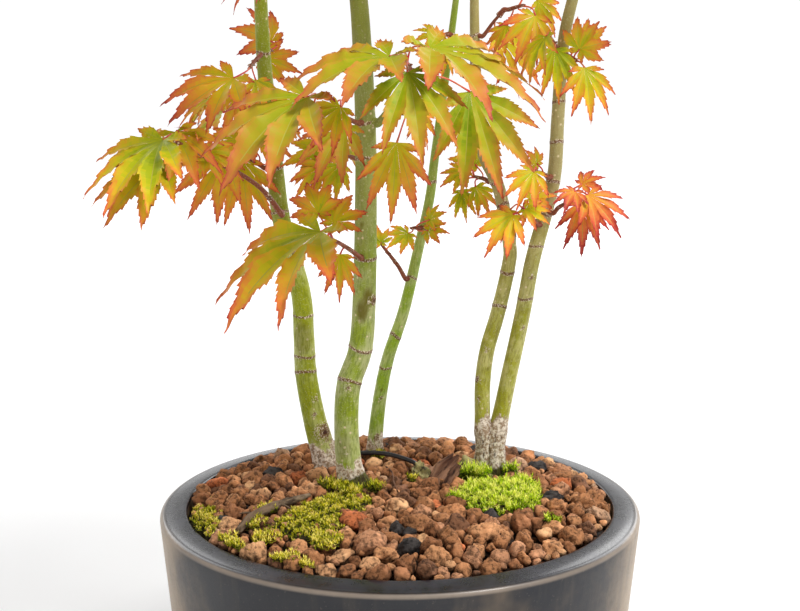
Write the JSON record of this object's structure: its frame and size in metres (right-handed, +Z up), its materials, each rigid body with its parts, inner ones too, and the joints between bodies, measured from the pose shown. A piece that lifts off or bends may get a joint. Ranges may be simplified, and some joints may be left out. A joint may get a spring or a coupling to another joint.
{
  "type": "potted japanese maple bonsai",
  "caption": "Japanese maple bonsai: a clump of slender green stems with drooping lobed leaves in autumn tints, in a round dark glazed pot of clay grit.",
  "frame": {"origin": "centre of the pot's flat underside", "axes": "+Z up along the pot's axis and the stems; the plant's front, where the tallest stem stands nearest, faces -Y; +X to the right seen from the front"},
  "size_m": [0.3521, 0.2508, 0.5757],
  "materials": {
    "pot_glaze": "gloss, blue-black glaze",
    "grit": "matt, reddish-brown baked clay grains",
    "moss": "matt, bright green",
    "green_bark": "smooth satin, yellow-green with dark scar rings",
    "olive_bark": "smooth satin, olive with dark scar rings",
    "cork": "rough, pinkish-grey cork with cracks",
    "young_bark": "satin, red-brown",
    "old_wood": "rough, dark weathered wood",
    "wire": "satin, blue-black coating",
    "foliage": "satin leaves, yellow-green turning amber, orange and red"
  },
  "bodies": {
    "root": {"bough_a_left": "young_bark", "bough_a_upper": "green_bark", "bough_b_front": "green_bark", "bough_b_upper_left": "green_bark", "bough_b_upper_right": "green_bark", "bough_d_right": "young_bark", "bough_e_upper": "green_bark", "clump_foot": "cork", "moss_front": "moss", "moss_left": "moss", "moss_right": "moss", "old_wood": "old_wood", "pot": "pot_glaze", "soil": "grit", "spray_a_behind": "foliage", "spray_a_high": "foliage", "spray_a_inner": "foliage", "spray_a_left": "foliage", "spray_a_low_back": "foliage", "spray_a_out": "foliage", "spray_a_side": "foliage", "spray_a_top": "foliage", "spray_a_upper": "foliage", "spray_b_back": "foliage", "spray_b_front": "foliage", "spray_b_high_back": "foliage", "spray_b_high_front": "foliage", "spray_b_left": "foliage", "spray_b_left_end": "foliage", "spray_b_low": "foliage", "spray_b_rear": "foliage", "spray_b_right": "foliage", "spray_b_right_end": "foliage", "spray_b_side_left": "foliage", "spray_b_side_right": "foliage", "spray_b_top": "foliage", "spray_c_low": "foliage", "spray_c_middle": "foliage", "spray_c_top": "foliage", "spray_c_upper": "foliage", "spray_d_back": "foliage", "spray_d_left": "foliage", "spray_d_right": "foliage", "spray_d_top": "foliage", "spray_e_back": "foliage", "spray_e_end": "foliage", "spray_e_low_left": "foliage", "spray_e_low_right": "foliage", "spray_e_middle": "foliage", "spray_e_top": "foliage", "spray_e_upper_left": "foliage", "spray_e_upper_right": "foliage", "stem_a": "green_bark", "stem_b": "green_bark", "stem_c": "green_bark", "stem_d": "olive_bark", "stem_e": "olive_bark", "surface_root": "cork", "tie_wire": "wire"}
  },
  "joints": []
}
